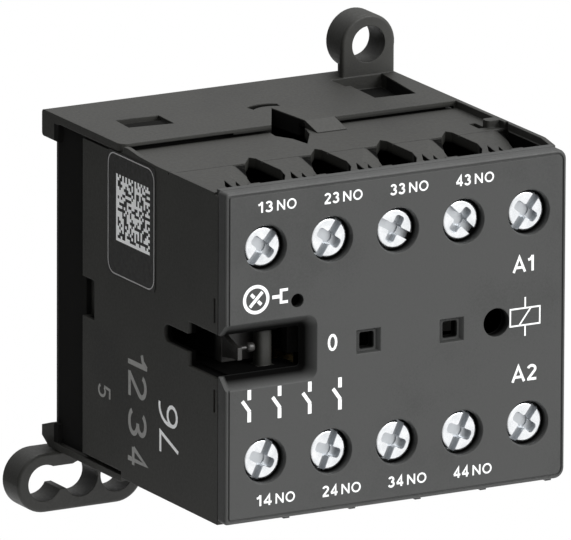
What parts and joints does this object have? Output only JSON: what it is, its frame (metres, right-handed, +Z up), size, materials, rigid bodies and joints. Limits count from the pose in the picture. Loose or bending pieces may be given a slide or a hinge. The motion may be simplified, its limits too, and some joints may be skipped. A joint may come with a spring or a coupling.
{
  "type": "din rail contactor",
  "caption": "Compact DIN-rail contactor relay: box-shaped body with screw terminals on the front, rear fixing eyes, and a coil-driven contact carrier inside.",
  "frame": {"origin": "rear (panel) plane, at half the body's width and half the height of the rail recess", "axes": "+X to the right seen from the front, +Y back towards the panel, +Z up; the front faces -Y"},
  "size_m": [0.0525, 0.0465, 0.0575],
  "materials": {
    "base_plastic": "fine grained",
    "housing_plastic": "fine grained",
    "cover_plastic": "fine grained",
    "label_film": "printed film",
    "bobbin_plastic": "smooth",
    "copper_wire": "enamelled",
    "lead_insulation": "smooth",
    "laminated_iron": "ground",
    "plated_steel": "bright zinc",
    "rubber_pad": "matt",
    "carrier_plastic": "smooth",
    "spring_steel": "drawn wire",
    "silver_contact": "satin",
    "contact_brass": "rolled"
  },
  "bodies": {
    "contactor_body": {"base": "base_plastic", "coil_bobbin": "bobbin_plastic", "coil_leads": "lead_insulation", "coil_terminal_a1": "contact_brass", "coil_terminal_a2": "contact_brass", "coil_winding": "copper_wire", "core_pad": "rubber_pad", "fixed_contact_13": "contact_brass", "fixed_contact_14": "contact_brass", "fixed_contact_23": "contact_brass", "fixed_contact_24": "contact_brass", "fixed_contact_33": "contact_brass", "fixed_contact_34": "contact_brass", "fixed_contact_43": "contact_brass", "fixed_contact_44": "contact_brass", "fixed_contact_tips": "silver_contact", "front_cover": "cover_plastic", "housing": "housing_plastic", "magnet_core": "laminated_iron", "return_spring_left": "spring_steel", "return_spring_right": "spring_steel", "side_label": "label_film"},
    "contact_carrier": {"contact_carrier": "carrier_plastic", "armature": "laminated_iron", "armature_pin": "plated_steel", "contact_spring_1": "spring_steel", "contact_spring_2": "spring_steel", "contact_spring_3": "spring_steel", "contact_spring_4": "spring_steel"},
    "bridge_1": {"bridge_contact_1": "contact_brass", "bridge_tips_1": "silver_contact"},
    "bridge_2": {"bridge_contact_2": "contact_brass", "bridge_tips_2": "silver_contact"},
    "bridge_3": {"bridge_contact_3": "contact_brass", "bridge_tips_3": "silver_contact"},
    "bridge_4": {"bridge_contact_4": "contact_brass", "bridge_tips_4": "silver_contact"},
    "rail_spring": {"rail_spring": "spring_steel"},
    "clamp_13": {"clamp_plate_13": "plated_steel"},
    "screw_13": {"terminal_screw_13": "plated_steel"},
    "clamp_23": {"clamp_plate_23": "plated_steel"},
    "screw_23": {"terminal_screw_23": "plated_steel"},
    "clamp_33": {"clamp_plate_33": "plated_steel"},
    "screw_33": {"terminal_screw_33": "plated_steel"},
    "clamp_43": {"clamp_plate_43": "plated_steel"},
    "screw_43": {"terminal_screw_43": "plated_steel"},
    "clamp_a1": {"clamp_plate_a1": "plated_steel"},
    "screw_a1": {"terminal_screw_a1": "plated_steel"},
    "clamp_14": {"clamp_plate_14": "plated_steel"},
    "screw_14": {"terminal_screw_14": "plated_steel"},
    "clamp_24": {"clamp_plate_24": "plated_steel"},
    "screw_24": {"terminal_screw_24": "plated_steel"},
    "clamp_34": {"clamp_plate_34": "plated_steel"},
    "screw_34": {"terminal_screw_34": "plated_steel"},
    "clamp_44": {"clamp_plate_44": "plated_steel"},
    "screw_44": {"terminal_screw_44": "plated_steel"},
    "clamp_a2": {"clamp_plate_a2": "plated_steel"},
    "screw_a2": {"terminal_screw_a2": "plated_steel"}
  },
  "joints": [
    {"name": "carrier_slide", "type": "slide", "parent": "contactor_body", "child": "contact_carrier", "axis": [0, 1, 0], "range_m": [0, 0.0031], "stiffness_N_per_m": 400, "springref_m": -0.002, "deforming": ["return_spring_left", "return_spring_right"]},
    {"name": "bridge_1_follow", "type": "slide", "parent": "contact_carrier", "child": "bridge_1", "axis": [0, 1, 0], "range_m": [-0.00095, 0], "deforming": ["contact_spring_1"]},
    {"name": "bridge_2_follow", "type": "slide", "parent": "contact_carrier", "child": "bridge_2", "axis": [0, 1, 0], "range_m": [-0.00095, 0], "deforming": ["contact_spring_2"]},
    {"name": "bridge_3_follow", "type": "slide", "parent": "contact_carrier", "child": "bridge_3", "axis": [0, 1, 0], "range_m": [-0.00095, 0], "deforming": ["contact_spring_3"]},
    {"name": "bridge_4_follow", "type": "slide", "parent": "contact_carrier", "child": "bridge_4", "axis": [0, 1, 0], "range_m": [-0.00095, 0], "deforming": ["contact_spring_4"]},
    {"name": "rail_spring_push", "type": "slide", "parent": "contactor_body", "child": "rail_spring", "axis": [0, 0, 1], "range_m": [0, 0.0009], "stiffness_N_per_m": 3000},
    {"name": "clamp_13_close", "type": "slide", "parent": "contactor_body", "child": "clamp_13", "axis": [0, 1, 0], "range_m": [0, 0.003]},
    {"name": "screw_13_turn", "type": "hinge", "parent": "clamp_13", "child": "screw_13", "pos_m": [-0.018, -0.0444, 0.01355], "axis": [0, 1, 0], "range_deg": [0, 1800]},
    {"name": "clamp_23_close", "type": "slide", "parent": "contactor_body", "child": "clamp_23", "axis": [0, 1, 0], "range_m": [0, 0.003]},
    {"name": "screw_23_turn", "type": "hinge", "parent": "clamp_23", "child": "screw_23", "pos_m": [-0.00893, -0.0444, 0.01355], "axis": [0, 1, 0], "range_deg": [0, 1800]},
    {"name": "clamp_33_close", "type": "slide", "parent": "contactor_body", "child": "clamp_33", "axis": [0, 1, 0], "range_m": [0, 0.003]},
    {"name": "screw_33_turn", "type": "hinge", "parent": "clamp_33", "child": "screw_33", "pos_m": [0.00014, -0.0444, 0.01355], "axis": [0, 1, 0], "range_deg": [0, 1800]},
    {"name": "clamp_43_close", "type": "slide", "parent": "contactor_body", "child": "clamp_43", "axis": [0, 1, 0], "range_m": [0, 0.003]},
    {"name": "screw_43_turn", "type": "hinge", "parent": "clamp_43", "child": "screw_43", "pos_m": [0.00921, -0.0444, 0.01355], "axis": [0, 1, 0], "range_deg": [0, 1800]},
    {"name": "clamp_a1_close", "type": "slide", "parent": "contactor_body", "child": "clamp_a1", "axis": [0, 1, 0], "range_m": [0, 0.003]},
    {"name": "screw_a1_turn", "type": "hinge", "parent": "clamp_a1", "child": "screw_a1", "pos_m": [0.01828, -0.0444, 0.01355], "axis": [0, 1, 0], "range_deg": [0, 1800]},
    {"name": "clamp_14_close", "type": "slide", "parent": "contactor_body", "child": "clamp_14", "axis": [0, 1, 0], "range_m": [0, 0.003]},
    {"name": "screw_14_turn", "type": "hinge", "parent": "clamp_14", "child": "screw_14", "pos_m": [-0.018, -0.0444, -0.01285], "axis": [0, 1, 0], "range_deg": [0, 1800]},
    {"name": "clamp_24_close", "type": "slide", "parent": "contactor_body", "child": "clamp_24", "axis": [0, 1, 0], "range_m": [0, 0.003]},
    {"name": "screw_24_turn", "type": "hinge", "parent": "clamp_24", "child": "screw_24", "pos_m": [-0.00893, -0.0444, -0.01285], "axis": [0, 1, 0], "range_deg": [0, 1800]},
    {"name": "clamp_34_close", "type": "slide", "parent": "contactor_body", "child": "clamp_34", "axis": [0, 1, 0], "range_m": [0, 0.003]},
    {"name": "screw_34_turn", "type": "hinge", "parent": "clamp_34", "child": "screw_34", "pos_m": [0.00014, -0.0444, -0.01285], "axis": [0, 1, 0], "range_deg": [0, 1800]},
    {"name": "clamp_44_close", "type": "slide", "parent": "contactor_body", "child": "clamp_44", "axis": [0, 1, 0], "range_m": [0, 0.003]},
    {"name": "screw_44_turn", "type": "hinge", "parent": "clamp_44", "child": "screw_44", "pos_m": [0.00921, -0.0444, -0.01285], "axis": [0, 1, 0], "range_deg": [0, 1800]},
    {"name": "clamp_a2_close", "type": "slide", "parent": "contactor_body", "child": "clamp_a2", "axis": [0, 1, 0], "range_m": [0, 0.003]},
    {"name": "screw_a2_turn", "type": "hinge", "parent": "clamp_a2", "child": "screw_a2", "pos_m": [0.01828, -0.0444, -0.01285], "axis": [0, 1, 0], "range_deg": [0, 1800]}
  ],
  "couplings": [
    {"joint": "bridge_1_follow", "follows": "carrier_slide", "ratio": -0.30645},
    {"joint": "bridge_2_follow", "follows": "carrier_slide", "ratio": -0.30645},
    {"joint": "bridge_3_follow", "follows": "carrier_slide", "ratio": -0.30645},
    {"joint": "bridge_4_follow", "follows": "carrier_slide", "ratio": -0.30645},
    {"joint": "screw_13_turn", "follows": "clamp_13_close", "rad_per_m": 10472},
    {"joint": "screw_23_turn", "follows": "clamp_23_close", "rad_per_m": 10472},
    {"joint": "screw_33_turn", "follows": "clamp_33_close", "rad_per_m": 10472},
    {"joint": "screw_43_turn", "follows": "clamp_43_close", "rad_per_m": 10472},
    {"joint": "screw_a1_turn", "follows": "clamp_a1_close", "rad_per_m": 10472},
    {"joint": "screw_14_turn", "follows": "clamp_14_close", "rad_per_m": 10472},
    {"joint": "screw_24_turn", "follows": "clamp_24_close", "rad_per_m": 10472},
    {"joint": "screw_34_turn", "follows": "clamp_34_close", "rad_per_m": 10472},
    {"joint": "screw_44_turn", "follows": "clamp_44_close", "rad_per_m": 10472},
    {"joint": "screw_a2_turn", "follows": "clamp_a2_close", "rad_per_m": 10472}
  ]
}
